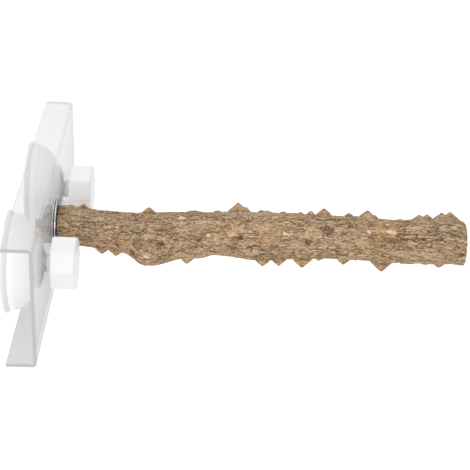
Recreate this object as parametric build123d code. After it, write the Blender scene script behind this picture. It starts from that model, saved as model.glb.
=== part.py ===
from build123d import *
import os
from math import cos, pi, radians, sin

# Bird shower perch: a thorny natural branch stands out from a clear channel bracket, which two
# screw-down suction cups hold to a wall, tile or window.
# Millimetres. X points out of the wall, Z is up, and the origin lies in the wall's surface,
# midway between the two cups. The left cup is the one at -Y, seen by someone facing the wall.

# Channel bracket, bent from clear sheet
channel_length = 200.0
channel_height = 75.0
channel_depth = 17.4
sheet_thickness = 2.0
bend_radius = 3.0
channel_standoff = 5.0

# Soft suction discs, each centred this far from its end of the channel
cup_inset = 52.5
disc_diameter = 60.0
disc_rim_width = 3.0
disc_lip_thickness = 0.8
disc_edge_thickness = 3.2
disc_hollow_depth = 3.0
disc_web_thickness = 2.8
boss_skin = 2.0
soft_clearance = 0.3

# Threaded posts, moulded into the discs and drawn out by the knobs
post_diameter = 7.0
post_flange_diameter = 14.0
post_flange_thickness = 1.8
cup_travel = 3.0

# Pressure domes, which press the edge of each disc to the wall
dome_diameter = 56.0
dome_wall = 2.0
dome_skirt = 2.5
dome_neck_diameter = 22.0
dome_neck_length = 3.0
dome_bulge = 3.4
dome_guide_clearance = 0.3

# Octagonal knobs, hollow behind, with a threaded hub that bears on the sheet
knob_across_flats = 30.0
knob_length = 14.3
knob_wall = 2.0
knob_chamfer = 0.9
hub_diameter = 10.5
hub_length = 3.3
thread_clearance = 0.1
post_end_gap = 1.0
left_knob_turn = -8.0
right_knob_turn = 0.0

# Hanger bolt, washers and nut
stud_diameter = 6.0
stud_point_length = 5.0
stud_in_wood = 32.0
stud_beyond_nut = 4.1
thread_bite = 0.2
bolt_clearance = 0.5
washer_clearance = 0.3
front_washer_diameter = 32.0
front_washer_thickness = 1.5
rear_washer_diameter = 18.0
rear_washer_thickness = 1.6
nut_across_flats = 10.0
nut_height = 5.2
steel_edge_break = 0.3

# Thorny branch
perch_length = 247.0
perch_diameter = 27.0
bow_angle = 61.0
section_points = 10
oval_depth = 0.03
lobe_depth = 0.02
thorn_sides = 6
thorn_sink = 2.2
thorn_slenderness = 2.4
thorn_width_share = 0.7
thorn_tip_share = 0.1
back_thorns = 15

# Places along X that the sizes above give
plate_front = channel_standoff + channel_depth
plate_back = plate_front - sheet_thickness
knob_back = plate_front + hub_length
knob_front = knob_back + knob_length
bore_end = knob_front - knob_wall
post_end = bore_end - cup_travel - post_end_gap
perch_base = plate_front + front_washer_thickness
rear_washer_back = plate_back - rear_washer_thickness
nut_back = rear_washer_back - nut_height
stud_back = nut_back - stud_beyond_nut
stud_front = perch_base + stud_in_wood
cup_reach = channel_length / 2 - cup_inset
cup_places = {"left": -cup_reach, "right": cup_reach}
knob_turns = {"left": left_knob_turn, "right": right_knob_turn}

# The branch's shape: how far along it, in percent of its length, how thick it is there against
# perch_diameter, and how far it bows away from bow_angle, in millimetres
branch_stations = [
    (0, 0.86, 0.0),
    (5, 0.87, 0.8),
    (10, 0.89, 2.3),
    (14, 0.92, 3.2),
    (17, 0.95, 3.9),
    (20, 1.15, 6.5),
    (23, 1.24, 7.4),
    (26, 1.19, 6.7),
    (30, 1.08, 4.8),
    (36, 1.02, 3.5),
    (43, 1.01, 2.8),
    (50, 1.04, 3.2),
    (58, 1.01, 2.4),
    (64, 0.98, 2.5),
    (70, 0.96, 2.9),
    (76, 0.95, 3.0),
    (82, 0.97, 4.0),
    (88, 0.98, 3.8),
    (94, 1.04, 2.7),
    (98, 1.02, 2.8),
    (100, 0.93, 3.8),
]

# The limb is lofted in stretches, each from one station to another, so that the steep side of its
# belly doesn't bend the surface further along
limb_stretches = [(0, 17), (17, 36), (36, 100)]

# Thorns along the upper and the lower outline: percent of the length, height
upper_thorns = [
    (2.8, 1.2),
    (5.9, 2.2),
    (22, 3.4),
    (43.9, 5.6),
    (45.9, 2.8),
    (49.6, 1.2),
    (51.4, 1.4),
    (55.2, 2.0),
    (59.3, 1.8),
    (61.9, 2.6),
    (65.1, 4.6),
    (71.3, 3.0),
    (75.9, 5.0),
    (77.6, 2.6),
    (84, 1.2),
    (88.7, 3.4),
    (90.6, 3.2),
    (94.1, 3.6),
    (96.2, 3.6),
]
lower_thorns = [
    (10.8, 3.0),
    (14.2, 2.8),
    (31.7, 3.1),
    (46.2, 1.5),
    (50.4, 4.2),
    (54.4, 4.4),
    (60.1, 6.0),
    (64.3, 2.2),
    (70.3, 3.6),
    (79.8, 5.8),
    (93.9, 2.5),
]

# Broad low thorns on the side between those outlines: percent of the length, angle, base length
side_thorns = [
    (18.4, 172, 8),
    (44, 124, 12),
    (46, 200, 11),
    (51.5, 155, 12),
    (52.5, 196, 8),
    (53, 101, 8),
    (55.5, 111, 9),
    (56, 138, 8),
    (61, 169, 8),
    (66.5, 193, 11),
    (70.5, 101, 8),
    (71, 178, 12),
    (74, 107, 12),
    (75, 180, 8),
    (80, 114, 15),
    (89, 82, 12),
    (94, 154, 11),
    (95.5, 172, 12),
]
side_thorn_share = 0.17


def facing_out(x, y=0.0):
    """A plane across the X axis that faces out of the wall, with +Y to its right and +Z up."""
    return Plane(origin=(x, y, 0), x_dir=(0, 1, 0), z_dir=(1, 0, 0))


def turned(points, y=0.0):
    """A solid of revolution about a line along X, from its half profile of X and radius."""
    return Pos(0, y, 0) * revolve(make_face(Polyline(*points, close=True)), Axis.X)


def rod(x_start, x_end, diameter, y=0.0):
    return extrude(facing_out(x_start, y) * Circle(diameter / 2), x_end - x_start)


def channel():
    middle = channel_standoff + channel_depth / 2
    outside = Plane.XZ * Pos(middle, 0) * Rectangle(channel_depth, channel_height)
    outside = fillet(outside.vertices().group_by(Axis.X)[-1], bend_radius)
    inside = Plane.XZ * Pos(middle - sheet_thickness, 0)
    inside = inside * Rectangle(channel_depth, channel_height - 2 * sheet_thickness)
    inside_radius = max(bend_radius - sheet_thickness, sheet_thickness / 4)
    inside = fillet(inside.vertices().group_by(Axis.X)[-1], inside_radius)
    body = extrude(outside - inside, channel_length / 2, both=True)
    for y in cup_places.values():
        body -= rod(plate_back - 1, plate_front + 1, post_diameter + 2 * bolt_clearance, y)
    return body - rod(plate_back - 1, plate_front + 1, stud_diameter + 2 * bolt_clearance)


def suction_disc(y):
    """A shallow soft cup with a flat rim for the wall, and a boss that holds the post's flange."""
    rim = disc_diameter / 2
    hollow_edge = rim - disc_rim_width
    seat = dome_diameter / 2
    pocket = disc_hollow_depth + disc_web_thickness / 2
    pocket_end = pocket + post_flange_thickness + 2 * soft_clearance
    pocket_radius = post_flange_diameter / 2 + soft_clearance
    boss_radius = pocket_radius + boss_skin
    boss_end = pocket_end + boss_skin
    boss_foot = disc_hollow_depth + disc_web_thickness
    stem_radius = post_diameter / 2 + soft_clearance
    sphere = (hollow_edge**2 + disc_hollow_depth**2) / (2 * disc_hollow_depth)
    centre = disc_hollow_depth - sphere
    halfway = (centre + (sphere**2 - hollow_edge**2 / 4) ** 0.5, hollow_edge / 2)
    hollow = ThreePointArc((0, hollow_edge), halfway, (disc_hollow_depth, 0))
    outline = Polyline(
        (disc_hollow_depth, 0),
        (pocket, 0),
        (pocket, pocket_radius),
        (pocket_end, pocket_radius),
        (pocket_end, stem_radius),
        (boss_end, stem_radius),
        (boss_end, boss_radius - boss_skin / 2),
        (boss_end - boss_skin / 2, boss_radius),
        (boss_foot, boss_radius + boss_skin / 2),
        (disc_edge_thickness, seat - dome_wall - soft_clearance),
        (disc_edge_thickness, seat),
        (disc_lip_thickness, rim),
        (0, rim),
        (0, hollow_edge),
    )
    return Pos(0, y, 0) * revolve(make_face(hollow + outline), Axis.X)


def cup_post(y):
    flange_start = disc_hollow_depth + disc_web_thickness / 2 + soft_clearance
    flange_end = flange_start + post_flange_thickness
    stem = post_diameter / 2
    lead = stem / 5
    return turned(
        [
            (flange_start, 0),
            (flange_start, post_flange_diameter / 2),
            (flange_end, post_flange_diameter / 2),
            (flange_end, stem),
            (post_end - lead, stem),
            (post_end, stem - lead),
            (post_end, 0),
        ],
        y,
    )


def pressure_dome(y):
    """A rigid bell whose rim sits on the disc's edge and whose neck meets the sheet."""
    rim = dome_diameter / 2
    neck = dome_neck_diameter / 2
    skirt_end = disc_edge_thickness + dome_skirt
    neck_start = plate_back - dome_neck_length
    guide = post_diameter / 2 + dome_guide_clearance
    reach = (neck_start - skirt_end) / 2
    drop = (rim - neck) / 2
    slope = (reach**2 + drop**2) ** 0.5
    bulge_x = dome_bulge * drop / slope
    bulge_r = dome_bulge * reach / slope
    outer = ThreePointArc(
        (skirt_end, rim),
        (skirt_end + reach + bulge_x, rim - drop + bulge_r),
        (neck_start, neck),
    )
    inner = ThreePointArc(
        (neck_start - dome_wall, neck),
        (skirt_end + reach + bulge_x - dome_wall, rim - drop + bulge_r - dome_wall / 2),
        (skirt_end, rim - dome_wall),
    )
    top = Polyline(
        (neck_start, neck),
        (plate_back, neck),
        (plate_back, guide),
        (neck_start - dome_wall, guide),
        (neck_start - dome_wall, neck),
    )
    bottom = Polyline(
        (skirt_end, rim - dome_wall),
        (disc_edge_thickness, rim - dome_wall),
        (disc_edge_thickness, rim),
        (skirt_end, rim),
    )
    return Pos(0, y, 0) * revolve(make_face(outer + top + inner + bottom), Axis.X)


def octagon(across_flats, turn):
    return RegularPolygon(across_flats / 2, 8, major_radius=False, rotation=turn)


def knob(y, turn):
    """An octagonal cap: chamfered outside, hollow from behind round its threaded hub."""
    body = extrude(facing_out(knob_back, y) * octagon(knob_across_flats, turn), knob_length)
    front_edges = body.edges().group_by(Axis.X)[-1]
    back_edges = body.edges().group_by(Axis.X)[0]
    body = chamfer(front_edges + back_edges, knob_chamfer)
    hollow = octagon(knob_across_flats - 2 * knob_wall, turn)
    body -= extrude(facing_out(knob_back, y) * hollow, knob_length - knob_wall)
    body += rod(plate_front, knob_front - knob_wall / 2, hub_diameter, y)
    return body - rod(plate_front, bore_end, post_diameter + 2 * thread_clearance, y)


def hanger_stud():
    """A headless bolt: machine thread behind the sheet, pointed wood thread in the branch."""
    radius = stud_diameter / 2
    lead = radius / 4
    return turned(
        [
            (stud_back, 0),
            (stud_back, radius - lead),
            (stud_back + lead, radius),
            (stud_front - stud_point_length, radius),
            (stud_front, radius / 6),
            (stud_front, 0),
        ]
    )


def washer(x_start, thickness, diameter):
    hole = stud_diameter + 2 * washer_clearance
    ring = rod(x_start, x_start + thickness, diameter)
    ring = chamfer(ring.edges(), steel_edge_break)
    return ring - rod(x_start, x_start + thickness, hole)


def hex_nut():
    """A hexagon nut whose corners are turned off at both faces."""
    corner = nut_across_flats / 3**0.5
    slope = nut_height / 8
    blank = extrude(
        facing_out(nut_back) * RegularPolygon(nut_across_flats / 2, 6, major_radius=False),
        nut_height,
    )
    envelope = turned(
        [
            (nut_back, 0),
            (nut_back, nut_across_flats / 2 - slope / 2),
            (nut_back + slope, corner),
            (rear_washer_back - slope, corner),
            (rear_washer_back, nut_across_flats / 2 - slope / 2),
            (rear_washer_back, 0),
        ]
    )
    bore = rod(nut_back, rear_washer_back, stud_diameter + 2 * thread_clearance)
    return (blank & envelope) - bore


def branch_at(percent):
    """Radius and bow of the branch at a place along it, eased between the stations."""
    for low, high in zip(branch_stations, branch_stations[1:]):
        if percent <= high[0]:
            break
    share = (percent - low[0]) / (high[0] - low[0])
    girth = low[1] + (high[1] - low[1]) * share
    bow = low[2] + (high[2] - low[2]) * share
    return girth * perch_diameter / 2, bow


def branch_plane(percent):
    """The plane across the branch at a place along it, centred on its bowed middle line."""
    bow = branch_at(percent)[1]
    tilt = radians(bow_angle)
    origin = (perch_base + perch_length * percent / 100, -bow * cos(tilt), -bow * sin(tilt))
    return Plane(origin=origin, x_dir=(0, 1, 0), z_dir=(1, 0, 0))


def branch_section(percent):
    """A slightly oval and three-lobed outline, whose lobes wind slowly along the branch."""
    radius = branch_at(percent)[0]
    wind = 2 * pi * percent / 100
    points = []
    for step in range(section_points):
        angle = 2 * pi * step / section_points
        oval = oval_depth * cos(2 * angle + wind)
        lobes = lobe_depth * cos(3 * angle - 2 * wind)
        reach = radius * (1 + oval + lobes)
        points.append((reach * cos(angle), reach * sin(angle)))
    return branch_plane(percent) * make_face(Spline(points, periodic=True))


def thorn(percent, angle, base, height):
    """A flattened conical thorn, longer along the branch than round it, rooted in the wood."""
    radius = branch_at(percent)[0]
    place = branch_plane(percent)
    outward = place.x_dir * cos(radians(angle)) + place.y_dir * sin(radians(angle))
    share = thorn_sink / (thorn_sink + height)
    tip = base * thorn_tip_share
    foot = (base - tip * share) / (1 - share)
    rings = []
    for level, length in ((radius - thorn_sink, foot), (radius + height, tip)):
        across = Plane(origin=place.origin + outward * level, x_dir=(1, 0, 0), z_dir=outward)
        ring = []
        for side in range(thorn_sides):
            turn = 2 * pi * side / thorn_sides
            ring.append((length / 2 * cos(turn), length / 2 * thorn_width_share * sin(turn)))
        rings.append(across * make_face(Polyline(*ring, close=True)))
    return loft(rings, ruled=True)


def bare_limb():
    """The limb without thorns, one loft for each stretch."""
    lofts = []
    for start, end in limb_stretches:
        stations = [station[0] for station in branch_stations if start <= station[0] <= end]
        lofts.append(loft([branch_section(percent) for percent in stations]))
    return lofts[0].fuse(*lofts[1:])


def branch():
    """The limb, with the thorns that its outline shows and a like spread on its far side."""
    thorns = []
    for percent, height in upper_thorns:
        thorns.append(thorn(percent, bow_angle, height * thorn_slenderness, height))
    for percent, height in lower_thorns:
        thorns.append(thorn(percent, bow_angle + 180, height * thorn_slenderness, height))
    for percent, angle, base in side_thorns:
        thorns.append(thorn(percent, angle, base, base * side_thorn_share))
    for count in range(back_thorns):
        percent = 12 + 84 * (count + 0.5) / back_thorns
        angle = bow_angle - 35 - (count * 61) % 115
        height = 2 + 1.5 * (count % 3)
        thorns.append(thorn(percent, angle, height * thorn_slenderness, height))
    limb = bare_limb().fuse(*thorns)
    free_end = perch_base + perch_length
    limb -= rod(free_end, free_end + perch_diameter, 3 * perch_diameter)
    pilot = stud_diameter - 2 * thread_bite
    return limb - rod(perch_base - 1, stud_front + 1, pilot)


def build():
    pieces = {
        "acrylic_channel": channel(),
        "perch_branch": branch(),
        "perch_stud": hanger_stud(),
        "front_washer": washer(plate_front, front_washer_thickness, front_washer_diameter),
        "rear_washer": washer(rear_washer_back, rear_washer_thickness, rear_washer_diameter),
        "rear_nut": hex_nut(),
    }
    for side, y in cup_places.items():
        pieces[side + "_suction_disc"] = suction_disc(y)
        pieces[side + "_cup_post"] = cup_post(y)
        pieces[side + "_pressure_dome"] = pressure_dome(y)
        pieces[side + "_knob"] = knob(y, knob_turns[side])
    return pieces


os.makedirs("parts", exist_ok=True)
for name, piece in build().items():
    export_step(piece, f"parts/{name}.step")
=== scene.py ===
from math import atan2, cos, pi, radians, sin, sqrt

import bmesh
import bpy
import numpy as np
from mathutils import Matrix, Vector
from mathutils.bvhtree import BVHTree


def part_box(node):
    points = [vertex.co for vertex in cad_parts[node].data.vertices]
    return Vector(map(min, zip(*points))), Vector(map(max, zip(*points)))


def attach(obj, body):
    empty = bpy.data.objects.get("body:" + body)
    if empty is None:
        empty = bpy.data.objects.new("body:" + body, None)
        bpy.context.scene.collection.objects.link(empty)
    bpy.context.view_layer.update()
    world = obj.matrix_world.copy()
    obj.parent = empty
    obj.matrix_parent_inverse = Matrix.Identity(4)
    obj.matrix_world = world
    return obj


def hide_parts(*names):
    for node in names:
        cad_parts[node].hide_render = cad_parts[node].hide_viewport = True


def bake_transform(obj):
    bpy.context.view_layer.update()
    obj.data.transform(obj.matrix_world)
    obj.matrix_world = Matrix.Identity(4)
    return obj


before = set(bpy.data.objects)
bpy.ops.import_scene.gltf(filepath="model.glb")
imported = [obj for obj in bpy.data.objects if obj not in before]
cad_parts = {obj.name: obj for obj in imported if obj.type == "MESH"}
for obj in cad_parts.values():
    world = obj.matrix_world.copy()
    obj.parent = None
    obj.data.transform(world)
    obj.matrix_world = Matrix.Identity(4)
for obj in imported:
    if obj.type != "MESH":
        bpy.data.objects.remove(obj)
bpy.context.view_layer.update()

# Looks of the bird shower perch, in metres and in the frame of the CAD parts: X points out of the
# wall, Z is up, and the origin lies in the wall's surface, midway between the two cups.
MM = 0.001

# Viewpoint of the photograph, from a camera fitted to it, and its frame in pixels
camera_place = (0.1216, -0.745, 0.4022)
camera_azimuth = radians(0.73)
camera_elevation = radians(28.58)
camera_roll = radians(2.22)
focal_pixels = 1391.0
photo_pixels = 470
sensor_width = 36.0

# Light and surroundings
floor_drop = 0.30
floor_size = 6.0
world_level = 0.86
floor_glow = 0.35
lamps = [
    ("key", (-0.3, -1.5, 0.4), 1.2, 5.0),
    ("top", (-0.1, 0.1, 1.5), 1.4, 2.4),
]
lamp_target = (0.1, 0.0, 0.0)

# Branch mesh: its steps, the gap left at each end of the CAD branch, and how far out, in metres,
# the rays start that find its surface
bark_rings = 700
bark_spokes = 250
cap_rings = 16
branch_end_gap = 0.05 * MM
cast_reach = 0.08
seed = 11

# Middle line and limb: coarse steps round and along, rounds of fitting, the percentile of a section
# that the fit starts from, and how far above the fit a point still counts as limb
coarse_spokes = 48
coarse_sections = 60
middle_rounds = 3
limb_percentile = 45
limb_tolerance = 0.12 * MM

# Corky scales: their number, how they gather towards the free end, the least and greatest length in
# millimetres, width as a share of the length, rise as a share of the width, and lean
scale_count = 210
scale_gathering = 0.65
scale_lengths = (3.5, 10.0)
scale_widths = (0.26, 0.42)
scale_rises = (0.14, 0.24)
scale_lean = 0.25

# Bark relief in millimetres
lump_height = 0.34
plate_height = 0.30
fissure_depth = 0.50
grain_height = 0.16
bark_lift = 0.06

# Sizes of the bark's patterns in millimetres, the width of a fissure as a share of its pattern's
# height, and how patterns are stretched along the branch
warp_size = (9, 4, 4)
lump_size = (16, 9, 9)
depth_size = (22, 6, 6)
plate_size = 2.4
fissure_size = 1.4
fissure_width = 0.18
grain_size = 0.8
bark_stretch = (0.2, 1, 1)
grain_stretch = (0.35, 1, 1)

# Thorns in millimetres: what counts as one, then the heights over which a thorn turns from a low
# scale to a sharp pyramid, and from the colour of bark to tan
thorn_floor = 0.12
sharp_heights = (1.1, 2.0)
tan_heights = (2.0, 3.0)

# Shape of the thorns: mesh steps that a thorn's height is spread over, the least height that is
# shaped, the terraces of a tall one, and its foot
thorn_spread = 16
least_thorn = 0.5 * MM
terrace_height = 0.10 * MM
terrace_pitch = 1.1 * MM
foot_height = 0.3 * MM

# Knots and nicks, then the free end in millimetres: how far in its wear and its rough sawn face
# reach, and the mean and spread of each
knot_rise = 0.5 * MM
knot_groove = 0.5 * MM
nick_depth = 0.25 * MM
wear_reach = 2.2
end_wear = (0.3, 0.35)
set_back_reach = 1.2
end_set_back = (0.22, 0.22)

# Small steps of the branch's outline, outwards, above and below: percent of its length, millimetres
upper_steps = [
    (0, 0.0), (12, 0.0), (18, -0.4), (22, -0.3), (28, 0.0), (32, -0.6), (35, -0.3), (38, -0.6),
    (42, -0.3), (46, 0.5), (52, 0.4), (56, -0.3), (74, -0.2), (79, -0.6), (83, -0.4), (86, 0.0),
    (92, 0.0), (93.5, -0.4), (95.5, 0.3), (97, 0.7), (98.2, 0.8), (99, 0.4),
]
lower_steps = [
    (0, 0.0), (14, 0.1), (17.5, 0.6), (20, 0.6), (24, 0.3), (28, 0.0), (36, 0.5), (40, 0.3),
    (42.5, -0.2), (46, 0.3), (50, 0.6), (54, 0.4), (66, -0.4), (74, 0.4), (79, 0.6), (84, -0.4),
    (89, -0.1), (94, 0.3), (96.5, -0.2), (99, 0.6),
]

# Marks on the bark: the pixel of the photograph that shows the middle, then the length along the
# branch and the width round it, in millimetres
pale_nicks = [
    ((182.0, 217.5), 4.6, 3.4),
    ((146.5, 257.0), 4.6, 3.0),
    ((208.0, 235.6), 2.8, 2.4),
    ((284.8, 233.4), 3.0, 2.0),
    ((369.0, 231.9), 2.8, 1.8),
    ((387.7, 224.2), 3.0, 1.8),
    ((350.9, 254.1), 3.0, 1.8),
    ((392.0, 232.5), 8.5, 2.4),
]
dark_stains = [
    ((327.0, 230.0), 11.0, 6.0),
    ((308.0, 242.6), 5.0, 3.0),
    ((415.5, 226.5), 4.2, 3.4),
    ((132.0, 251.0), 5.0, 4.5),
    ((270.6, 254.0), 3.2, 2.6),
    ((160.0, 244.0), 6.0, 4.0),
    ((440.0, 239.0), 5.0, 3.0),
    ((240.5, 236.0), 2.2, 4.0),
]
knots = [
    ((137.3, 244.7), 5.6, 6.4),
]

# Threads: steps round them, the pitch and depth of each, and the plain length beside them
thread_spokes = 48
fine_pitch = 1.0 * MM
fine_depth = 0.5 * MM
wood_pitch = 2.4 * MM
wood_depth = 0.7 * MM
post_pitch = 2.0 * MM
post_depth = 0.7 * MM
thread_gap = 1.0 * MM

# Stud: where each thread starts, the length and tip of its point, and its rear edge in millimetres:
# how far from the end, and how far inside the radius
fine_lead = 0.6 * MM
wood_lead = 2.0 * MM
stud_point = 6.0 * MM
stud_tip_radius = 0.4 * MM
stud_rear_edge = [(0.0, 0.9), (0.5, 0.3)]

# Posts: the stem, its narrowed end, the flange and the flange's chamfer
post_stem_radius = 3.5 * MM
post_end_inset = 0.8 * MM
post_flange_thickness = 1.8 * MM
post_flange_edge = 0.25 * MM

# Knobs: half the width across flats, the length of the cap, its wall, the steps round it, its hub,
# its bore, and how far each knob is turned in the photograph
knob_apothem = 15.0 * MM
knob_length = 14.3 * MM
knob_wall = 2.0 * MM
knob_spokes = 240
hub_radius = 5.25 * MM
bore_radius = 3.6 * MM
hub_chamfer = 0.4 * MM
knob_turns = {"left": radians(-8.0), "right": 0.0}

# Rounded edges of a knob, in millimetres: how far from the end, and how far from the flats
knob_outer_edge = [(0.0, 1.15), (0.1, 0.8), (0.75, 0.12), (1.1, 0.0), (1.4, 0.0)]
knob_inner_edge = [(0.0, 0.8), (0.2, 0.2), (0.8, 0.0)]
knob_mouth_edge = [(0.5, 0.0), (0.1, 0.12), (0.0, 0.4)]
knob_face_start = 1.5 * MM

# Plastics and steels: the duller and the brighter colour of each, then the dark lines on the rim of
# the washer that shows, which are painted shade where it meets the sheet and the branch. The
# bright steel is a painted highlight: a brighter copy of the steel for that washer's rim
knob_whites = ((0.88, 0.882, 0.884, 1), (0.9, 0.902, 0.903, 1))
# The domes' white is a brighter copy of the knobs' white: painted light that makes up for the shade they
# sit in behind the sheet
brightened_dome_whites = ((0.95, 0.951, 0.952, 1), (0.965, 0.966, 0.966, 1))
dark_steel = ((0.30, 0.30, 0.31, 1), (0.46, 0.46, 0.47, 1))
highlighted_steel = ((0.78, 0.78, 0.79, 1), (0.88, 0.88, 0.89, 1))
vinyl_whites = ((0.81, 0.815, 0.82, 1), (0.86, 0.864, 0.868, 1))
painted_rim_shade = (0.035, 0.035, 0.04, 1)
painted_rim_shade_stops = [(0.26, 1.0), (0.36, 0.0), (0.72, 0.0), (0.8, 1.0)]

# Clear sheet: how far the frosting of a sawn face reaches, the share of haze on each face, the
# share of gloss seen straight on and what a grazing angle adds, the tint from straight on to
# grazing, and the painted shade that darkens the tint, reflection and haze towards the lower edge
sawn_reach = 0.05 * MM
sheet_haze = 0.19
sheet_shine = 0.039
grazing_shine = 0.62
film_stops = [
    (0.0, (0.955, 0.957, 0.96, 1)),
    (0.52, (0.895, 0.897, 0.90, 1)),
    (0.88, (0.85, 0.852, 0.855, 1)),
    (1.0, (0.76, 0.76, 0.765, 1)),
]
painted_shade_stops = [(0.06, 0.87), (0.4, 0.98), (1.0, 1.0)]

# Colours of bark, thorns and marks, in 8-bit screen values
bark_tones = {
    "warm": (164, 128, 93),
    "plain": (184, 151, 117),
    "cool": (178, 153, 120),
    "weathered": (156, 139, 117),
    "fibre shade": (102, 72, 49),
    "fibre light": (226, 195, 158),
    "streak": (122, 90, 64),
    # Painted highlight on the raised crests of the bark
    "crest_highlight": (224, 194, 157),
    "fleck shade": (78, 55, 39),
    "fleck light": (236, 209, 174),
    "stain": (74, 50, 38),
    "thorn": (166, 126, 86),
    "thorn light": (218, 180, 132),
    "thorn tip": (128, 90, 66),
    "lip": (236, 192, 142),
    "knot": (134, 108, 74),
    "knot light": (180, 152, 110),
    # Dark cracks: the fissures' own darker colour, and painted shade in them
    "crack_shade": (68, 47, 34),
    "nick": (218, 178, 128),
    "nick light": (252, 228, 190),
}

# Colours of the sawn wood, and of the frosted ends of the sheet, in 8-bit screen values
wood_tones = {
    "light": (216, 186, 144),
    "ring": (176, 138, 96),
    "pore": (140, 104, 72),
    "pith": (112, 80, 54),
    "bark": (96, 70, 50),
}
frost_tones = {
    "left": ((182, 176, 171), (208, 202, 198)),
    "right": ((232, 231, 230), (244, 244, 244)),
}

# Soft discs, in millimetres: the rim's width, the hollow's depth, the X and radius of the side away
# from the wall, and the inner edge of the rim
disc_rim_width = 3.0
disc_hollow_depth = 3.0
disc_outline = [
    (4.4, 0.0),
    (4.4, 7.3),
    (6.8, 7.3),
    (6.8, 3.8),
    (8.8, 3.8),
    (8.8, 8.3),
    (7.8, 9.3),
    (5.8, 10.3),
    (3.2, 25.7),
    (3.2, 28.0),
    (0.8, 30.0),
    (0.0, 30.0),
]
disc_mouth = (0.0, disc_outline[-1][1] - disc_rim_width)

# Mesh of the discs: rounded edges, steps round and across the hollow, and the cuts of a side longer
# than so many millimetres.
disc_edge_radius = 0.35 * MM
disc_spokes = 160
disc_hollow_steps = 18
disc_long_side = 10.0
disc_long_cuts = 10


def srgb(red, green, blue):
    """A linear colour from 8-bit screen values."""
    out = []
    for level in (red, green, blue):
        share = level / 255
        out.append(share / 12.92 if share <= 0.04045 else ((share + 0.055) / 1.055) ** 2.4)
    return (*out, 1.0)


# Meshes

def add_piece(name, vertices, faces, body, slot, replaced, material, sharp_angle=None):
    """A new piece that rides on a body and stands for one CAD node. The slot is not used."""
    mesh = bpy.data.meshes.new(name)
    mesh.from_pydata([tuple(v) for v in vertices], [], faces)
    tidy = bmesh.new()
    tidy.from_mesh(mesh)
    bmesh.ops.remove_doubles(tidy, verts=tidy.verts, dist=1e-6)
    bmesh.ops.recalc_face_normals(tidy, faces=tidy.faces)
    tidy.to_mesh(mesh)
    tidy.free()
    mesh.shade_smooth()
    if sharp_angle:
        mesh.set_sharp_from_angle(angle=radians(sharp_angle))
    piece = bpy.data.objects.new(name, mesh)
    bpy.context.scene.collection.objects.link(piece)
    piece.data.materials.append(material)
    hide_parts(replaced)
    if body:
        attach(piece, body)
    return piece


def ring_faces(rings, spokes, closed):
    """Quads between neighbouring rings of points, and from the last to the first if closed."""
    faces = []
    for ring in range(rings if closed else rings - 1):
        after = (ring + 1) % rings
        for spoke in range(spokes):
            beside = (spoke + 1) % spokes
            faces.append(
                (
                    ring * spokes + spoke,
                    ring * spokes + beside,
                    after * spokes + beside,
                    after * spokes + spoke,
                )
            )
    return faces


def rings_about_x(rings, angles, y=0.0):
    """Points of rings about a line along X. Each ring is its place along X and its radii."""
    points = []
    for x, radii in rings:
        reach = np.broadcast_to(radii, angles.shape)
        along = np.full_like(angles, x)
        points.append(np.stack([along, y + reach * np.cos(angles), reach * np.sin(angles)], 1))
    return np.concatenate(points)


def softened(points, radius, steps=4):
    """A closed outline with each corner rounded, at most by a third of its shorter side."""
    out = []
    count = len(points)
    for i, corner in enumerate(points):
        corner = np.array(corner, float)
        before = np.array(points[i - 1], float) - corner
        after = np.array(points[(i + 1) % count], float) - corner
        sides = np.linalg.norm(before), np.linalg.norm(after)
        reach = min(radius, sides[0] / 3, sides[1] / 3)
        straight = before @ after < -0.97 * sides[0] * sides[1]
        on_axis = corner[1] < 1e-9
        if straight or on_axis:
            out.append(tuple(corner))
            continue
        start = corner + before / sides[0] * reach
        end = corner + after / sides[1] * reach
        for step in range(steps + 1):
            t = step / steps
            point = start * (1 - t) ** 2 + corner * 2 * t * (1 - t) + end * t**2
            out.append(tuple(point))
    return out


def lathe(name, outline, y, spokes, **placing):
    """A piece turned about a line along X from a closed outline of X and radius."""
    angles = np.linspace(0, 2 * pi, spokes, endpoint=False)
    vertices = rings_about_x(outline, angles, y)
    faces = ring_faces(len(outline), spokes, closed=True)
    return add_piece(name, vertices, faces, **placing)


def stack(name, rings, y, spokes, **placing):
    """A piece made of rings about a line along X, which starts and ends on that line."""
    angles = np.linspace(0, 2 * pi, spokes, endpoint=False)
    vertices = rings_about_x(rings, angles, y)
    faces = ring_faces(len(rings), spokes, closed=False)
    return add_piece(name, vertices, faces, **placing)


# Turned, moulded and threaded pieces

def thread_rings(start, end, radius, pitch, depth, spokes, steps_per_turn=8):
    """Rings of a helical thread that fades in and out over its first and last turn."""
    angles = np.linspace(0, 2 * pi, spokes, endpoint=False)
    steps = int((end - start) / pitch * steps_per_turn)
    rings = []
    for step in range(steps + 1):
        x = start + (end - start) * step / steps
        ridge = np.abs(((x / pitch - angles / (2 * pi)) % 1) * 2 - 1)
        fade = min(1, (x - start) / pitch, (end - x) / pitch)
        rings.append((x, radius - depth * fade * (1 - ridge)))
    return rings


def make_stud(material):
    """The hanger bolt: a fine machine thread behind the sheet and a coarse one in the wood."""
    low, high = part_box("perch_stud")
    radius = (high[1] - low[1]) / 2
    spokes = thread_spokes
    fine_start = low[0] + fine_lead
    wood_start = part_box("perch_branch")[0][0] + wood_lead
    fine_end = wood_start - thread_gap
    rings = [(low[0], 0.0)] + [(low[0] + x * MM, radius - r * MM) for x, r in stud_rear_edge]
    rings += thread_rings(fine_start, fine_end, radius, fine_pitch, fine_depth, spokes)
    rings += thread_rings(wood_start, high[0] - stud_point, radius, wood_pitch, wood_depth, spokes)
    rings += [(high[0], stud_tip_radius), (high[0], 0.0)]
    return stack("threaded_stud", rings, 0.0, spokes, body="perch", slot="polished_steel",
                 replaced="perch_stud", material=material, sharp_angle=50)


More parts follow.
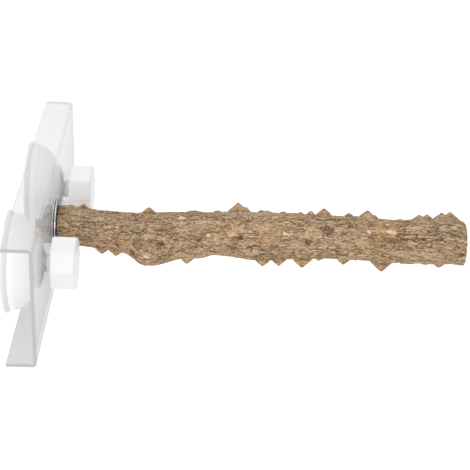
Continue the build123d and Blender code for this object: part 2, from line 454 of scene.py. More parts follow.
def make_post(side, y, material):
    """The threaded post, with the flange that the soft disc holds."""
    node = side + "_cup_post"
    low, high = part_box(node)
    flange = (high[1] - low[1]) / 2
    stem = post_stem_radius
    spokes = thread_spokes
    step = post_flange_edge
    flange_end = low[0] + post_flange_thickness
    rings = [(low[0], 0.0), (low[0], flange - step), (low[0] + step, flange),
             (flange_end - step, flange), (flange_end, flange - step), (flange_end, stem)]
    start, end = flange_end + thread_gap, high[0] - thread_gap
    rings += thread_rings(start, end, stem, post_pitch, post_depth, spokes)
    rings += [(high[0], stem - post_end_inset), (high[0], 0.0)]
    return stack(side + "_threaded_post", rings, y, spokes, body=side + "_post",
                 slot="white_plastic", replaced=node, material=material, sharp_angle=50)


def octagon_radii(apothem, turn, spokes, sharpness=170):
    """Radius of an octagon with slightly rounded corners, at each angle."""
    angles = np.linspace(0, 2 * pi, spokes, endpoint=False)
    total = 0.0
    for side in range(8):
        flat = turn + pi / 8 + side * pi / 4
        total = total + np.clip(np.cos(angles - flat), 0, 1) ** sharpness
    return apothem / total ** (1 / sharpness)


def make_knob(side, y, material):
    """An octagonal cap, hollow behind round its hub, with rounded edges."""
    node = side + "_knob"
    low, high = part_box(node)
    hub_end, front = low[0], high[0]
    back = front - knob_length
    floor = front - knob_wall
    cavity = knob_apothem - knob_wall
    turn = knob_turns[side]
    rings = [
        (floor, 0.0),
        (floor, bore_radius),
        (hub_end + hub_chamfer, bore_radius),
        (hub_end, bore_radius + hub_chamfer),
        (hub_end, hub_radius - hub_chamfer),
        (hub_end + hub_chamfer, hub_radius),
    ]
    rings += [(floor - x * MM, hub_radius + r * MM) for x, r in knob_inner_edge[::-1]]
    flat_rings = [(floor - x * MM, cavity - r * MM) for x, r in knob_inner_edge]
    flat_rings += [(back + x * MM, cavity + r * MM) for x, r in knob_mouth_edge]
    flat_rings += [(back + x * MM, knob_apothem - r * MM) for x, r in knob_outer_edge]
    flat_rings += [(front - x * MM, knob_apothem - r * MM) for x, r in knob_outer_edge[::-1]]
    flat_rings += [(front, knob_apothem - knob_face_start), (front, knob_apothem / 2)]
    for x, apothem in flat_rings:
        rings.append((x, octagon_radii(apothem, turn, knob_spokes)))
    rings.append((front, 0.0))
    return stack(side + "_octagonal_knob", rings, y, knob_spokes, body=side + "_knob",
                 slot="white_plastic", replaced=node, material=material, sharp_angle=40)


def make_disc(side, y, material):
    """A soft disc turned from its outline: its middle stands out round the post and its edge stays on
    the wall.
    """
    node = side + "_suction_disc"
    low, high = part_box(node)
    mouth = (high[1] - low[1]) / 2 - disc_rim_width * MM
    depth = disc_hollow_depth * MM
    sphere = (mouth**2 + depth**2) / (2 * depth)
    outline = []
    for step in range(disc_hollow_steps + 1):
        radius = mouth * (1 - step / disc_hollow_steps)
        outline.append((depth - sphere + sqrt(sphere**2 - radius**2), radius))
    for start, end in zip(disc_outline, disc_outline[1:] + [disc_mouth]):
        cuts = disc_long_cuts if abs(end[1] - start[1]) > disc_long_side else 1
        for cut in range(cuts):
            share = cut / cuts
            x, radius = (start[k] + (end[k] - start[k]) * share for k in (0, 1))
            outline.append((x * MM, radius * MM))
    outline = softened(outline, disc_edge_radius, steps=3)
    piece = lathe(side + "_soft_disc", outline, y, disc_spokes, body=None, slot="soft_vinyl",
                  replaced=node, material=material, sharp_angle=40)
    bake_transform(piece)
    count = len(piece.data.vertices)
    places = np.zeros(3 * count, np.float32)
    piece.data.vertices.foreach_get("co", places)
    places = places.reshape(-1, 3)
    return piece


# Noise, worked out point by point

def lattice_values(cell, salt):
    """A fixed random number from -1 to 1 for each cell corner."""
    mixed = cell[..., 0] * 374761393 + cell[..., 1] * 668265263 + cell[..., 2] * 2147483647
    mixed = (mixed + (seed + salt) * 1274126177) & 0xFFFFFFFF
    mixed = ((mixed ^ (mixed >> 13)) * 1103515245) & 0xFFFFFFFF
    mixed = mixed ^ (mixed >> 16)
    return (mixed & 0xFFFFFF) / 0x7FFFFF - 1.0


def noise(points, salt=0):
    """Smooth noise from about -1 to 1 at each point, with features about one unit wide."""
    cell = np.floor(points).astype(np.int64)
    share = points - cell
    ease = share * share * share * (share * (share * 6 - 15) + 10)
    total = 0.0
    for dx in (0, 1):
        for dy in (0, 1):
            for dz in (0, 1):
                corner = cell + np.array([dx, dy, dz])
                weight = 1.0
                for axis, side in enumerate((dx, dy, dz)):
                    weight = weight * (ease[..., axis] if side else 1 - ease[..., axis])
                total = total + weight * lattice_values(corner, salt)
    return total


def layered(points, octaves, salt=0):
    """Noise in several octaves, each half as wide and half as strong."""
    total = 0.0
    for octave in range(octaves):
        total = total + noise(points * 2**octave, salt + 7 * octave) / 2**octave
    return total / (2 - 0.5 ** (octaves - 1))


def smoothstep(low, high, value):
    share = np.clip((value - low) / (high - low), 0, 1)
    return share * share * (3 - 2 * share)


# Branch

def cast_surface(tree, places, middle, angles):
    """Radius of the CAD branch about its middle line, for each place along X and each angle."""
    radii = np.zeros((len(places), len(angles)))
    for i, x in enumerate(places):
        cy, cz = middle[i]
        for j, angle in enumerate(angles):
            outward = Vector((0, cos(angle), sin(angle)))
            origin = Vector((x, cy, cz)) + outward * cast_reach
            hit, _, _, distance = tree.ray_cast(origin, -outward)
            radii[i, j] = cast_reach - distance if hit is not None else np.nan
    return radii


def smooth_limb(radii, angles, waves=3, rounds=7):
    """The limb's radius without its thorns: a few waves round each section, fitted from below."""
    columns = [np.ones_like(angles)]
    for wave in range(1, waves + 1):
        columns += [np.cos(wave * angles), np.sin(wave * angles)]
    basis = np.stack(columns, 1)
    limb = np.zeros_like(radii)
    for i, row in enumerate(radii):
        kept = row <= np.percentile(row, limb_percentile)
        for _ in range(rounds):
            factors = np.linalg.lstsq(basis[kept], row[kept], rcond=None)[0]
            fitted = basis @ factors
            kept = row < fitted + limb_tolerance
        limb[i] = fitted
    return limb


def blurred(grid, along, around):
    """A grid smoothed along the branch and round it, by so many steps each way."""
    out = grid
    for axis, width in ((0, along), (1, around)):
        if not width:
            continue
        offsets = np.arange(-3 * width, 3 * width + 1)
        weights = np.exp(-0.5 * (offsets / width) ** 2)
        weights /= weights.sum()
        if axis == 0:
            padded = np.pad(out, ((3 * width, 3 * width), (0, 0)), mode="edge")
        else:
            padded = np.pad(out, ((0, 0), (3 * width, 3 * width)), mode="wrap")
        size = grid.shape[axis]
        total = 0.0
        for k, weight in enumerate(weights):
            total = total + weight * np.take(padded, range(k, k + size), axis=axis)
        out = total
    return out


def spread_highest(grid, along, around):
    """For each point of a grid, the highest value within so many steps each way."""
    out = grid
    for step in range(1, along + 1):
        ahead = np.pad(grid[step:], ((0, step), (0, 0)), mode="edge")
        behind = np.pad(grid[:-step], ((step, 0), (0, 0)), mode="edge")
        out = np.maximum(out, np.maximum(ahead, behind))
    grid = out
    for step in range(1, around + 1):
        out = np.maximum(out, np.maximum(np.roll(grid, step, 1), np.roll(grid, -step, 1)))
    return out


def branch_middle(tree, places):
    """The branch's bowed middle line, found on coarse sections and smoothed."""
    angles = np.linspace(0, 2 * pi, coarse_spokes, endpoint=False)
    coarse = np.linspace(places[0], places[-1], coarse_sections)
    middle = np.zeros((len(coarse), 2))
    for _ in range(middle_rounds):
        radii = cast_surface(tree, coarse, middle, angles)
        limb = smooth_limb(radii, angles, waves=2)
        middle[:, 0] += (limb * np.cos(angles)).mean(1)
        middle[:, 1] += (limb * np.sin(angles)).mean(1)
    fine = [np.interp(places, coarse, middle[:, k]) for k in (0, 1)]
    return np.stack(fine, 1)


def seen_at(tree, pixel):
    """The point of a surface that the photograph shows at a pixel."""
    forward, right, up = view_axes()
    half = photo_pixels / 2
    across = (pixel[0] - half) / focal_pixels
    down = (pixel[1] - half) / focal_pixels
    towards = (forward + right * across - up * down).normalized()
    return tree.ray_cast(Vector(camera_place), towards)[0]


def mark_mask(tree, marks, grid):
    """How far inside one of the marks each point of the grid lies: 1 in the middle, 0 outside."""
    places, angles, limb, centres, edge = grid
    total = np.zeros_like(limb)
    for pixel, length, width in marks:
        spot = seen_at(tree, pixel)
        if spot is None:
            continue
        row = np.argmin(np.abs(places - spot[0]))
        middle = centres[row]
        angle = atan2(spot[2] - middle[2], spot[1] - middle[1])
        turn = (angles - angle + pi) % (2 * pi) - pi
        along = (places - spot[0])[:, None] / (length * MM / 2)
        around = turn[None, :] * limb / (width * MM / 2)
        apart = along**2 + around**2
        total = np.maximum(total, np.clip(1 - apart + edge, 0, 1) * (apart < 2))
    return total


def strewn_scales(places, angles, limb):
    """Low almond-shaped corky scales all over the bark: height, pale lower lip and dark rim."""
    random = np.random.default_rng(seed)
    height = np.zeros_like(limb)
    lip = np.zeros_like(limb)
    rim = np.zeros_like(limb)
    for _ in range(scale_count):
        x = places[0] + (places[-1] - places[0]) * random.uniform(0, 1) ** scale_gathering
        angle = random.uniform(0, 2 * pi)
        length = random.uniform(*scale_lengths) * MM
        width = length * random.uniform(*scale_widths)
        rise = width * random.uniform(*scale_rises)
        lean = random.uniform(-scale_lean, scale_lean)
        rows = np.where(np.abs(places - x) < 0.7 * length)[0]
        turn = (angles - angle + pi) % (2 * pi) - pi
        along = (places[rows] - x)[:, None] / (length / 2)
        around = turn[None, :] * limb[rows] / (width / 2) - lean * along
        inside = 1 - along**2 - np.abs(around)
        share = np.clip(inside, 0, 1)
        below = 1.0 * (around * -cos(angle) > 0)
        bump = rise * smoothstep(0, 0.6, share) * (0.7 + 0.3 * below)
        height[rows] = np.maximum(height[rows], bump)
        edge = smoothstep(0.0, 0.08, share) * (1 - smoothstep(0.28, 0.48, share))
        lip[rows] = np.maximum(lip[rows], edge * below)
        outer = smoothstep(-0.45, -0.12, inside) * (1 - smoothstep(-0.05, 0.12, inside))
        rim[rows] = np.maximum(rim[rows], outer * (0.5 + 0.5 * (1 - below)) * (np.abs(along) < 1.05))
    return height, lip, rim


def bark_relief(points):
    """Height of the bark over its smooth surface, and the share of a crack and of a raised crest at each
    point. The colour darkens the cracks, partly as painted shade, and lightens the crests as a painted
    highlight.
    """
    mm = points / MM
    warp = np.stack([noise(mm / np.array(warp_size), 50 + k) for k in range(3)], -1)
    along = np.array(bark_stretch)
    lumps = layered(mm / np.array(lump_size) + 3, 2, 1)
    plates = layered(mm * along / plate_size + warp * 0.6, 2, 2)
    lines = np.abs(layered(mm * along / fissure_size + warp * 0.8, 2, 3))
    fissures = 1 - lines / fissure_width
    fissures = np.clip(fissures, 0, 1) ** 1.2
    deep = smoothstep(-0.35, 0.3, layered(mm / np.array(depth_size), 2, 4))
    fissures = fissures * (0.35 + 0.65 * deep)
    fine = layered(mm * np.array(grain_stretch) / grain_size, 2, 5)
    height = lump_height * lumps + plate_height * plates
    height = height - fissure_depth * fissures + grain_height * fine + bark_lift
    # Crests are the raised plates, which the colour lightens as a painted highlight
    crest_highlights = smoothstep(0.0, 0.5, plates + 0.5 * fine) * (1 - fissures)
    return height * MM, fissures, crest_highlights


def bark_mesh(node):
    """Points and named masks of the branch with its bark, thorns and marks."""
    low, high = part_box(node)
    depsgraph = bpy.context.evaluated_depsgraph_get()
    tree = BVHTree.FromObject(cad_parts[node], depsgraph)
    places = np.linspace(low[0] + branch_end_gap, high[0] - branch_end_gap, bark_rings)
    angles = np.linspace(0, 2 * pi, bark_spokes, endpoint=False)
    middle = branch_middle(tree, places)
    radii = cast_surface(tree, places, middle, angles)
    limb = blurred(smooth_limb(radii, angles), 4, 2)
    thorns = np.maximum(blurred(radii, 1, 1) - limb, 0)
    thorns[thorns < thorn_floor * MM] = 0
    heights = spread_highest(thorns, thorn_spread, thorn_spread)
    tall = smoothstep(sharp_heights[0] * MM, sharp_heights[1] * MM, heights)
    thorns = thorns * tall + blurred(thorns, 2, 2) * (1 - tall)
    tanned = smoothstep(tan_heights[0] * MM, tan_heights[1] * MM, heights)
    share = np.where(heights > least_thorn, thorns / np.maximum(heights, 1e-9), 0)
    share = np.clip(share, 0, 1)

    across = np.stack([np.zeros_like(angles), np.cos(angles), np.sin(angles)], 1)
    centres = np.stack([places, middle[:, 0], middle[:, 1]], 1)
    base = centres[:, None, :] + limb[..., None] * across[None]
    height, crack_shades, crest_highlights = bark_relief(base)
    scale_height, lip, rim = strewn_scales(places, angles, limb)
    edge = 0.4 * noise(base / (1.2 * MM), 70)
    grid = (places, angles, limb, centres, edge)
    nick = smoothstep(0.1, 0.45, mark_mask(tree, pale_nicks, grid))
    stain = smoothstep(0.0, 0.5, mark_mask(tree, dark_stains, grid))
    knot = mark_mask(tree, knots, grid)

    falling = (np.roll(thorns, -1, 1) - np.roll(thorns, 1, 1)) * -np.cos(angles)[None, :] < 0
    low_edge = smoothstep(0.04, 0.2, share) * (1 - smoothstep(0.3, 0.65, share)) * (1 - tall)
    lip = np.maximum(lip * (1 - tall), low_edge * falling)
    terraces = terrace_height * np.sin(2 * pi * thorns / terrace_pitch)
    terraces = terraces * smoothstep(0.05, 0.3, share) * tall
    foot = foot_height * smoothstep(0.0, 0.16, share) * (1 - smoothstep(0.3, 0.9, share))
    calm = 1 - 0.7 * smoothstep(0.15, 0.6, share * tall)
    smooth_knot = 1 - 0.8 * smoothstep(0.1, 0.4, knot)
    groove = smoothstep(0.02, 0.15, knot) * (1 - smoothstep(0.2, 0.4, knot))
    to_end = (places[-1] - places)[:, None] / MM
    worn = 1 - smoothstep(0.0, wear_reach, to_end)
    upper = smoothstep(-0.2, 0.8, np.sin(angles))[None, :]
    wear = worn * upper * (end_wear[0] + end_wear[1] * noise(base / (1.5 * MM), 71)) * MM
    relief = (height + scale_height * (1 - tall)) * calm * smooth_knot
    relief = relief + knot_rise * smoothstep(0.15, 0.6, knot)
    relief = relief - knot_groove * groove - nick_depth * nick
    reach = limb + thorns + terraces + foot + relief - wear
    percent = (places - places[0]) / (places[-1] - places[0]) * 100
    upward = sin(camera_elevation) * np.cos(angles) + cos(camera_elevation) * np.sin(angles)
    for steps, facing in ((upper_steps, upward), (lower_steps, -upward)):
        step = np.interp(percent, *zip(*steps)) * MM
        reach = reach + step[:, None] * smoothstep(0.3, 0.85, facing)[None, :]
    points = centres[:, None, :] + reach[..., None] * across[None]
    set_back = end_set_back[0] + end_set_back[1] * noise(base / (2.2 * MM), 72)
    set_back = (1 - smoothstep(0.0, set_back_reach, to_end)) * set_back
    points[..., 0] -= set_back * MM

    weathered = smoothstep(0.3, 0.95, np.sin(angles)[None, :] + 0.3 * noise(base / (9 * MM), 73))
    masks = {
        "thorn": share * tanned,
        # Darker in the fissures, the rims round the scales and the groove round the knot: partly their
        # own darker colour, partly painted shade in these recesses
        "crack_shade": np.maximum(np.maximum(crack_shades * calm * smooth_knot, 0.9 * rim * (1 - tall)), groove),
        # Painted highlight on the raised plates
        "crest_highlight": crest_highlights * calm * smooth_knot,
        "weathered": weathered,
        "lip": lip,
        "nick": nick,
        "stain": stain,
        "knot": smoothstep(0.2, 0.5, knot),
    }
    return points, masks, centres


def sawn_end(points, centre):
    """Rings of points that close one end, from the bark inwards."""
    rings = []
    for step in range(1, cap_rings + 1):
        share = 1 - step / cap_rings
        ring = centre + (points - centre) * share
        ring[:, 0] = points[:, 0] * share**2 + centre[0] * (1 - share**2)
        rings.append(ring)
    return np.array(rings)


def make_branch(material):
    points, masks, centres = bark_mesh("perch_branch")
    first = sawn_end(points[0], centres[0])
    last = sawn_end(points[-1], centres[-1])
    grid = np.concatenate([first[::-1], points, last])
    rings, spokes = grid.shape[:2]
    mesh = bpy.data.meshes.new("thorny_branch")
    faces = ring_faces(rings, spokes, closed=False)
    mesh.from_pydata(grid.reshape(-1, 3).tolist(), [], faces)
    plain_cap = np.zeros((cap_rings, spokes))
    outward = 1 - np.arange(1, cap_rings + 1) / cap_rings
    ring_cap = np.repeat(outward[:, None], spokes, axis=1)
    shown = {name: (plain_cap, mask) for name, mask in masks.items()}
    shown["cut"] = (plain_cap + 1, np.zeros_like(points[..., 0]))
    shown["ring"] = (ring_cap, np.ones_like(points[..., 0]))
    for name, (cap, mask) in shown.items():
        values = np.concatenate([cap[::-1], mask, cap]).astype(np.float32)
        layer = mesh.attributes.new(name, "FLOAT", "POINT")
        layer.data.foreach_set("value", values.ravel())
    tidy = bmesh.new()
    tidy.from_mesh(mesh)
    bmesh.ops.remove_doubles(tidy, verts=tidy.verts, dist=1e-7)
    bmesh.ops.recalc_face_normals(tidy, faces=tidy.faces)
    tidy.to_mesh(mesh)
    tidy.free()
    mesh.shade_smooth()
    piece = bpy.data.objects.new("thorny_branch", mesh)
    bpy.context.scene.collection.objects.link(piece)
    mesh.materials.append(material)
    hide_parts("perch_branch")
    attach(piece, "perch")
    return piece


# Materials

class Nodes:
    """A material's node tree, with short calls for the nodes that several materials share."""

    def __init__(self, name):
        self.material = bpy.data.materials.new(name)
        self.material.use_nodes = True
        self.tree = self.material.node_tree
        self.tree.nodes.clear()
        self.output = self.add("ShaderNodeOutputMaterial")

    def add(self, kind, inputs=None, **settings):
        made = self.tree.nodes.new(kind)
        for key, value in settings.items():
            setattr(made, key, value)
        for key, value in (inputs or {}).items():
            self.set(made.inputs[key], value)
        return made

    def set(self, socket, value):
        if isinstance(value, bpy.types.NodeSocket):
            self.tree.links.new(value, socket)
        else:
            socket.default_value = value

    def place(self, scale=(1, 1, 1)):
        """Object coordinates in millimetres, divided by scale."""
        coordinates = self.add("ShaderNodeTexCoord").outputs["Object"]
        factors = tuple(1000 / s for s in scale)
        return self.add("ShaderNodeMapping", {"Vector": coordinates, "Scale": factors}).outputs["Vector"]

    def noise(self, scale, detail=3.0, distortion=0.0, rough=0.5):
        made = self.add(
            "ShaderNodeTexNoise",
            {"Vector": self.place(scale), "Scale": 1.0, "Detail": detail, "Roughness": rough,
             "Distortion": distortion},
        )
        return made.outputs["Fac"]

    def ramp(self, value, stops):
        """A ramp from (place, level or colour) stops."""
        made = self.add("ShaderNodeValToRGB", {"Fac": value})
        elements = made.color_ramp.elements
        while len(elements) < len(stops):
            elements.new(0.5)
        for element, (place, level) in zip(elements, stops):
            element.position = place
            element.color = level if isinstance(level, tuple) else (level, level, level, 1)
        return made.outputs["Color"]

    def mix(self, share, first, second, how="MIX"):
        made = self.add("ShaderNodeMix", data_type="RGBA", blend_type=how)
        self.set(made.inputs[0], share)
        self.set(made.inputs[6], first)
        self.set(made.inputs[7], second)
        return made.outputs[2]

    def math(self, how, first, second=0.0):
        made = self.add("ShaderNodeMath", operation=how)
        self.set(made.inputs[0], first)
        self.set(made.inputs[1], second)
        return made.outputs[0]

    def mask(self, name):
        return self.add("ShaderNodeAttribute", attribute_name=name).outputs["Fac"]

    def bump(self, height, distance, strength=1.0):
        made = self.add("ShaderNodeBump", {"Height": height, "Distance": distance, "Strength": strength})
        return made.outputs["Normal"]

    def surface(self, shader):
        self.tree.links.new(shader, self.output.inputs["Surface"])
        return self.material


def bark_material():
    n = Nodes("bark")
    tone = {name: srgb(*levels) for name, levels in bark_tones.items()}
    patches = n.noise((30, 14, 14), 2)
    fibres = n.noise((3.6, 0.7, 0.7), 4, 0.8, 0.6)
    streaks = n.noise((8, 1.4, 1.4), 4, 1.2, 0.6)
    flecks = n.noise((1.3, 0.55, 0.55), 3, 0.4, 0.6)
    colour = n.ramp(
        patches,
        [(0.36, tone["warm"]), (0.5, tone["plain"]), (0.64, tone["cool"])],
    )
    weathered = n.mask("weathered")
    colour = n.mix(n.math("MULTIPLY", weathered, 0.4), colour, tone["weathered"])
    colour = n.mix(n.ramp(fibres, [(0.38, 0.9), (0.48, 0.0)]), colour, tone["fibre shade"])
    colour = n.mix(n.ramp(fibres, [(0.53, 0.0), (0.62, 0.8)]), colour, tone["fibre light"])
    colour = n.mix(n.ramp(streaks, [(0.37, 0.7), (0.46, 0.0)]), colour, tone["streak"])
    # Painted highlight: lighter on the raised plates of the bark
    colour = n.mix(n.math("MULTIPLY", n.mask("crest_highlight"), 0.5), colour, tone["crest_highlight"])
    colour = n.mix(n.ramp(flecks, [(0.36, 0.8), (0.45, 0.0)]), colour, tone["fleck shade"])
    colour = n.mix(n.ramp(flecks, [(0.57, 0.0), (0.65, 0.65)]), colour, tone["fleck light"])
    stained = n.math("MULTIPLY", n.mask("stain"), n.ramp(flecks, [(0.38, 0.95), (0.62, 0.4)]))
    colour = n.mix(stained, colour, tone["stain"])
    flank = n.mix(n.ramp(fibres, [(0.4, 0.0), (0.6, 1.0)]), tone["thorn"], tone["thorn light"])
    thorn = n.mask("thorn")
    turned = n.math("SUBTRACT", 0.8, n.math("MULTIPLY", weathered, 0.4))
    on_flank = n.math("MULTIPLY", n.ramp(thorn, [(0.05, 0.0), (0.28, 1.0)]), turned)
    colour = n.mix(on_flank, colour, flank)
    colour = n.mix(n.ramp(thorn, [(0.66, 0.0), (0.95, 0.8)]), colour, tone["thorn tip"])
    pale = n.math("MULTIPLY", n.mask("lip"), n.ramp(flecks, [(0.36, 0.4), (0.5, 1.0)]))
    colour = n.mix(n.math("MULTIPLY", pale, 0.95), colour, tone["lip"])
    colour = n.mix(n.mask("knot"), colour, n.mix(fibres, tone["knot"], tone["knot light"]))
    # Painted shade over the fissures' own darker colour: darker in the cracks, the rims round the scales
    # and the groove round the knot
    colour = n.mix(n.math("MULTIPLY", n.mask("crack_shade"), 0.9), colour, tone["crack_shade"])
    colour = n.mix(n.mask("nick"), colour, n.mix(flecks, tone["nick"], tone["nick light"]))
    end = sawn_wood_colour(n)
    colour = n.mix(n.mask("cut"), colour, end)
    shader = n.add(
        "ShaderNodeBsdfPrincipled",
        {
            "Base Color": colour,
            "Roughness": n.math("ADD", n.math("MULTIPLY", flecks, 0.15), 0.72),
            "Specular IOR Level": 0.25,
            "Normal": n.bump(fibres, 0.0004, 0.7),
        },
    )
    return n.surface(shader.outputs["BSDF"])


def sawn_wood_colour(n):
    """Growth rings round a dark pith, with a thin dark layer of bark outside."""
    tone = {name: srgb(*levels) for name, levels in wood_tones.items()}
    ring = n.mask("ring")
    wobble = n.noise((5, 5, 5), 2)
    phase = n.math("ADD", n.math("MULTIPLY", ring, 12.0), n.math("MULTIPLY", wobble, 1.8))
    wave = n.math("SINE", n.math("MULTIPLY", phase, 2 * pi))
    lines = n.ramp(n.math("ADD", n.math("MULTIPLY", wave, 0.5), 0.5), [(0.35, 0.0), (0.95, 0.75)])
    colour = n.mix(lines, tone["light"], tone["ring"])
    pores = n.noise((0.5, 0.5, 0.5), 2)
    colour = n.mix(n.ramp(pores, [(0.3, 0.5), (0.42, 0.0)]), colour, tone["pore"])
    colour = n.mix(n.ramp(ring, [(0.02, 1.0), (0.06, 0.0)]), colour, tone["pith"])
    return n.mix(n.ramp(ring, [(0.9, 0.0), (0.94, 0.9)]), colour, tone["bark"])


def white_plastic_material(name, dull, bright):
    n = Nodes(name)
    cloud = n.noise((6, 6, 6), 2)
    shader = n.add(
        "ShaderNodeBsdfPrincipled",
        {
            "Base Color": n.mix(cloud, dull, bright),
            "Roughness": n.math("ADD", n.math("MULTIPLY", cloud, 0.12), 0.26),
            "Normal": n.bump(n.noise((1.2, 1.2, 1.2), 2), 0.00002, 0.5),
        },
    )
    return n.surface(shader.outputs["BSDF"])


def vinyl_material():
    n = Nodes("soft_vinyl")
    cloud = n.noise((8, 8, 8), 2)
    shader = n.add(
        "ShaderNodeBsdfPrincipled",
        {
            "Base Color": n.mix(cloud, *vinyl_whites),
            "Roughness": n.math("ADD", n.math("MULTIPLY", cloud, 0.12), 0.2),
            "IOR": 1.5,
            "Subsurface Weight": 0.35,
            "Subsurface Radius": (1.0, 1.0, 1.0),
            "Subsurface Scale": 0.002,
        },
    )
    return n.surface(shader.outputs["BSDF"])


def steel_material(name, dull, bright, banded=None):
    """Polished steel. The rim of a washer named by banded has a dark line of painted shade along each
    edge, where it meets the sheet and the branch.
    """
    n = Nodes(name)
    turning = n.noise((0.6, 5, 5), 2)
    colour = n.mix(turning, dull, bright)
    if banded:
        low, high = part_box(banded)
        coordinates = n.add("ShaderNodeTexCoord").outputs["Object"]
        place = n.add("ShaderNodeSeparateXYZ", {"Vector": coordinates})
        share = n.math("DIVIDE", n.math("SUBTRACT", place.outputs["X"], low[0]), high[0] - low[0])
        # Painted shade: a dark line along each edge of the rim, where it meets the sheet and the branch
        colour = n.mix(n.ramp(share, painted_rim_shade_stops), colour, painted_rim_shade)
    shader = n.add(
        "ShaderNodeBsdfPrincipled",
        {
            "Base Color": colour,
            "Metallic": 1.0,
            "Roughness": n.math("ADD", n.math("MULTIPLY", turning, 0.15), 0.1),
        },
    )
    return n.surface(shader.outputs["BSDF"])


def clear_sheet_material():
    """Clear acrylic with a faint haze, frosted on the sawn faces of both ends."""
    n = Nodes("clear_acrylic")
    low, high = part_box("acrylic_channel")
    coordinates = n.add("ShaderNodeTexCoord").outputs["Object"]
    place = n.add("ShaderNodeSeparateXYZ", {"Vector": coordinates})
    left_end = n.math("LESS_THAN", place.outputs["Y"], low[1] + sawn_reach)
    right_end = n.math("GREATER_THAN", place.outputs["Y"], high[1] - sawn_reach)
    sawn = n.math("MAXIMUM", left_end, right_end)
    # Painted shade: the tint, the reflection and the haze of the sheet darken towards its lower edge
    level = n.math("DIVIDE", n.math("SUBTRACT", place.outputs["Z"], low[2]), high[2] - low[2])
    shade = n.ramp(level, painted_shade_stops)
    grazing = n.add("ShaderNodeLayerWeight", {"Blend": 0.5}).outputs["Facing"]
    film = n.ramp(grazing, film_stops)
    clear = n.add("ShaderNodeBsdfTransparent", {"Color": n.mix(1.0, film, shade, "MULTIPLY")})
    shaded_reflection = n.mix(1.0, (0.96, 0.96, 0.965, 1), shade, "MULTIPLY")
    gloss = n.add("ShaderNodeBsdfGlossy", {"Color": shaded_reflection, "Roughness": 0.02})
    rising = n.math("MULTIPLY", n.math("POWER", grazing, 5.0), grazing_shine)
    shine = n.math("ADD", rising, sheet_shine)
    bare = n.add("ShaderNodeMixShader", {0: shine, 1: clear.outputs[0], 2: gloss.outputs[0]})
    shaded_mist = n.mix(1.0, (0.95, 0.95, 0.95, 1), shade, "MULTIPLY")
    mist = n.add("ShaderNodeBsdfDiffuse", {"Color": shaded_mist})
    polished = n.add("ShaderNodeMixShader", {0: sheet_haze, 1: bare.outputs[0], 2: mist.outputs[0]})
    marks = n.noise((2, 0.3, 0.3), 2)
    brownish = n.mix(marks, *(srgb(*tone) for tone in frost_tones["left"]))
    pale = n.mix(marks, *(srgb(*tone) for tone in frost_tones["right"]))
    frosted = n.add(
        "ShaderNodeBsdfPrincipled",
        {
            "Base Color": n.mix(left_end, pale, brownish),
            "Roughness": 0.45,
            "IOR": 1.49,
        },
    )
    both = n.add("ShaderNodeMixShader", {0: sawn, 1: polished.outputs[0], 2: frosted.outputs["BSDF"]})
    passing = n.add("ShaderNodeBsdfTransparent", {"Color": (0.975, 0.975, 0.975, 1)})
    path = n.add("ShaderNodeLightPath")
    shown = both
    for kind in ("Is Shadow Ray", "Is Diffuse Ray"):
        inputs = {0: path.outputs[kind], 1: shown.outputs[0], 2: passing.outputs[0]}
        shown = n.add("ShaderNodeMixShader", inputs)
    return n.surface(shown.outputs[0])


# Surroundings

def seen_directly(nodes):
    """1 for rays that show the surroundings themselves: to the camera, or by gloss or glass."""
    path = nodes.add("ShaderNodeLightPath")
    share = nodes.math("MAXIMUM", path.outputs["Is Camera Ray"], path.outputs["Is Glossy Ray"])
    return nodes.math("MAXIMUM", share, path.outputs["Is Transmission Ray"])


def make_floor():
    n = Nodes("pale_floor")
    plain = n.add("ShaderNodeBsdfDiffuse", {"Color": (0.86, 0.86, 0.86, 1)})
    glow = n.add("ShaderNodeEmission", {"Strength": n.math("MULTIPLY", seen_directly(n), floor_glow)})
    both = n.add("ShaderNodeAddShader", {0: plain.outputs[0], 1: glow.outputs[0]})
    material = n.surface(both.outputs[0])
    half = floor_size / 2
    mesh = bpy.data.meshes.new("floor")
    corners = [(-half, -half, -floor_drop), (half, -half, -floor_drop), (half, half, -floor_drop),
               (-half, half, -floor_drop)]
    mesh.from_pydata(corners, [], [(0, 1, 2, 3)])
    mesh.materials.append(material)
    floor = bpy.data.objects.new("floor", mesh)
    bpy.context.scene.collection.objects.link(floor)


def make_world():
    world = bpy.data.worlds.new("studio")
    world.use_nodes = True
    tree = world.node_tree
    tree.nodes.clear()
    path = tree.nodes.new("ShaderNodeLightPath")
    share = None
    for name in ("Is Camera Ray", "Is Glossy Ray", "Is Transmission Ray"):
        if share is None:
            share = path.outputs[name]
            continue
        more = tree.nodes.new("ShaderNodeMath")
        more.operation = "MAXIMUM"
        tree.links.new(share, more.inputs[0])
        tree.links.new(path.outputs[name], more.inputs[1])
        share = more.outputs[0]
    light = tree.nodes.new("ShaderNodeBackground")
    light.inputs["Strength"].default_value = world_level
    white = tree.nodes.new("ShaderNodeBackground")
    both = tree.nodes.new("ShaderNodeMixShader")
    out = tree.nodes.new("ShaderNodeOutputWorld")
    for background in (light, white):
        background.inputs["Color"].default_value = (1, 1, 1, 1)
    tree.links.new(share, both.inputs[0])
    tree.links.new(light.outputs[0], both.inputs[1])
    tree.links.new(white.outputs[0], both.inputs[2])
    tree.links.new(both.outputs[0], out.inputs["Surface"])
    bpy.context.scene.world = world


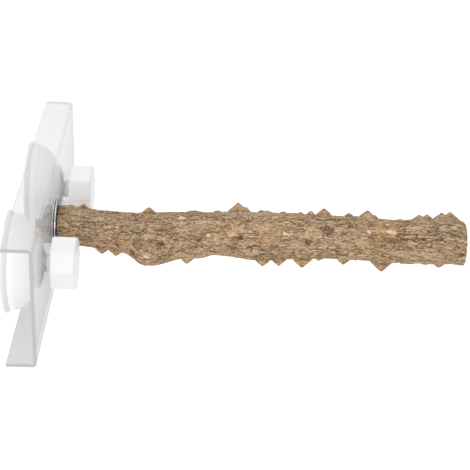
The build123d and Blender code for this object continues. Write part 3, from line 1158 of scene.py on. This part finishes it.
def make_lamp(name, place, target, size, watts):
    data = bpy.data.lights.new(name, "AREA")
    data.size = size
    data.energy = watts
    lamp = bpy.data.objects.new(name, data)
    lamp.location = place
    lamp.rotation_mode = "QUATERNION"
    lamp.rotation_quaternion = (Vector(target) - Vector(place)).to_track_quat("-Z", "Y")
    bpy.context.scene.collection.objects.link(lamp)


def view_axes():
    """The camera's forward, right and up directions."""
    forward = Vector(
        (
            sin(camera_azimuth) * cos(camera_elevation),
            cos(camera_azimuth) * cos(camera_elevation),
            -sin(camera_elevation),
        )
    )
    level = Vector((cos(camera_azimuth), -sin(camera_azimuth), 0))
    upward = level.cross(forward)
    right = level * cos(camera_roll) + upward * sin(camera_roll)
    up = upward * cos(camera_roll) - level * sin(camera_roll)
    return forward, right, up


def make_camera():
    """The camera at the photograph's viewpoint."""
    forward, right, up = view_axes()
    data = bpy.data.cameras.new("camera")
    data.sensor_width = sensor_width
    data.lens = focal_pixels * sensor_width / photo_pixels
    data.clip_start = 0.01
    data.clip_end = 50
    camera = bpy.data.objects.new("camera", data)
    turn = Matrix((right, up, -forward)).transposed().to_4x4()
    camera.matrix_world = Matrix.Translation(camera_place) @ turn
    bpy.context.scene.collection.objects.link(camera)
    bpy.context.scene.camera = camera


def dress(node, material):
    """A CAD node that keeps its shape gets a material."""
    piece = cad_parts[node]
    piece.data.materials.clear()
    piece.data.materials.append(material)


bpy.context.scene.view_settings.view_transform = "Standard"
make_camera()
make_world()
make_floor()
for name, place, size, watts in lamps:
    make_lamp(name, place, lamp_target, size, watts)

make_branch(bark_material())
plastic = white_plastic_material("moulded_white_plastic", *knob_whites)
# A brighter copy of the white plastic for the domes: painted light against the shade behind the sheet
brightened_dome_plastic = white_plastic_material("white_dome_plastic", *brightened_dome_whites)
vinyl = vinyl_material()
steel = steel_material("polished_steel", *dark_steel)
# The front washer: brighter steel as a painted highlight, with painted shade along both edges of its rim
washer_rim_painted_steel = steel_material("washer_steel_painted_highlight_and_shade", *highlighted_steel, banded="front_washer")
dress("acrylic_channel", clear_sheet_material())
make_stud(steel)
for side in ("left", "right"):
    low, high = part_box(side + "_suction_disc")
    cup_y = (low[1] + high[1]) / 2
    make_disc(side, cup_y, vinyl)
    make_post(side, cup_y, plastic)
    make_knob(side, cup_y, plastic)
    dress(side + "_pressure_dome", brightened_dome_plastic)
dress("front_washer", washer_rim_painted_steel)
for node in ("rear_washer", "rear_nut"):
    dress(node, steel)

bpy.context.view_layer.update()
